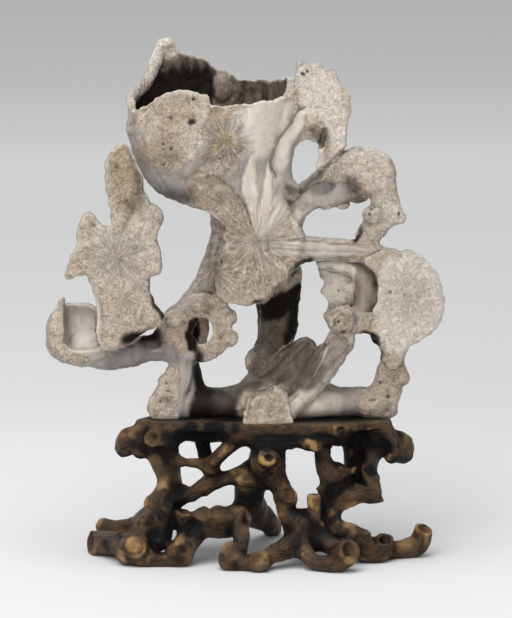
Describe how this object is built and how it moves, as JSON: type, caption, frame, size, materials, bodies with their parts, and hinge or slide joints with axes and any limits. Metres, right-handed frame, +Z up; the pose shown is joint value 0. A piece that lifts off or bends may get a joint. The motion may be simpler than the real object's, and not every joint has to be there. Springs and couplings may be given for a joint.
{
  "type": "scholars rock on a stand",
  "caption": "Pierced, cup-topped scholars rock resting in a carved root-wood stand, for display on a desk or shelf.",
  "frame": {"origin": "on the surface the stand rests on, under the middle of the whole object's box", "axes": "+Z up, -Y towards the stone's open front side, +X towards the stone's disc-shaped end"},
  "size_m": [0.269, 0.1388, 0.3482],
  "materials": {
    "stone": "rough pitted limestone",
    "wood": "satin dark stain, worn at the edges"
  },
  "bodies": {
    "root": {"rock": "stone", "stand_seat": "wood", "stand_leg_left": "wood", "stand_leg_left_rear": "wood", "stand_leg_front": "wood", "stand_leg_right_front": "wood", "stand_leg_right": "wood", "stand_leg_rear": "wood", "stand_leg_right_rear": "wood"}
  },
  "joints": []
}
